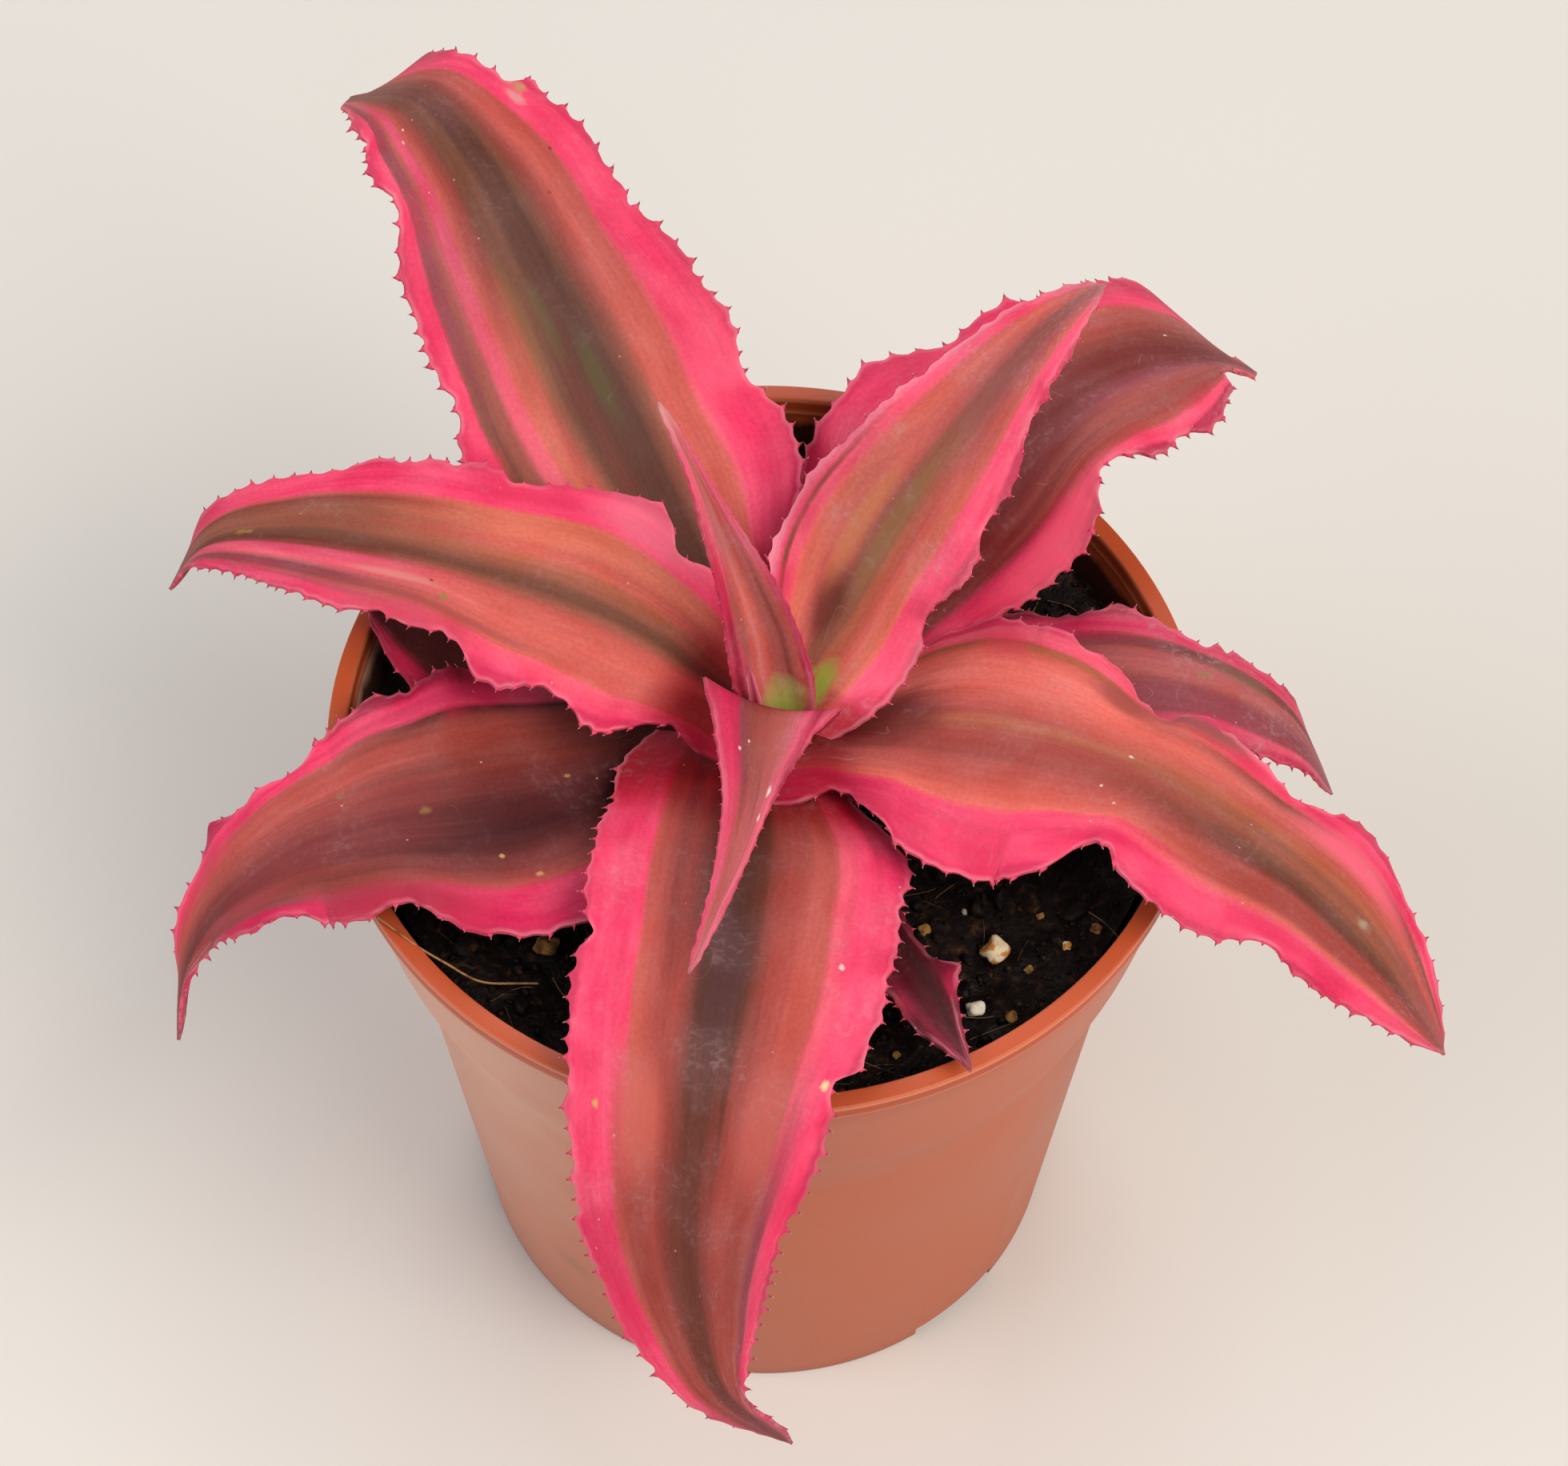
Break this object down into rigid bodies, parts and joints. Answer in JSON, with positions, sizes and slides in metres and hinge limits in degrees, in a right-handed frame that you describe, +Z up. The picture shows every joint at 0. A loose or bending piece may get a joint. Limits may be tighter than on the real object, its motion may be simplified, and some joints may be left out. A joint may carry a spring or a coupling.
{
  "type": "potted earth star",
  "caption": "Low rosette of wavy, spiny-edged leaves striped in pink and olive, growing from dark potting mix in a plain tapered nursery pot.",
  "frame": {"origin": "on the pot's axis, on the surface that the pot stands on", "axes": "+Z up along the pot's axis; -Y towards the side that the picture was taken from; +X to the right as seen from there"},
  "size_m": [0.1324, 0.1311, 0.1213],
  "materials": {
    "pot_plastic": "matte terracotta-coloured polypropylene",
    "potting_mix": "matte dark peat and bark mix",
    "crown_stem": "satin, pale green",
    "leaf_striped": "satin, striped lengthways in pink, salmon and olive",
    "leaf_dark": "satin, dark maroon with pink margins",
    "leaf_young": "satin, mauve pink with silvery scurf"
  },
  "bodies": {
    "root": {"pot": "pot_plastic", "soil": "potting_mix", "crown": "crown_stem", "leaf_back_left": "leaf_striped", "leaf_left": "leaf_striped", "leaf_front": "leaf_striped", "leaf_right": "leaf_striped", "leaf_back_right": "leaf_striped", "leaf_lower_left": "leaf_dark", "leaf_back_broad": "leaf_dark", "leaf_low_right": "leaf_dark", "leaf_low_left": "leaf_dark", "leaf_low_front": "leaf_dark", "leaf_centre_up": "leaf_young", "leaf_centre_front": "leaf_young", "leaf_bud": "leaf_young"}
  },
  "joints": []
}
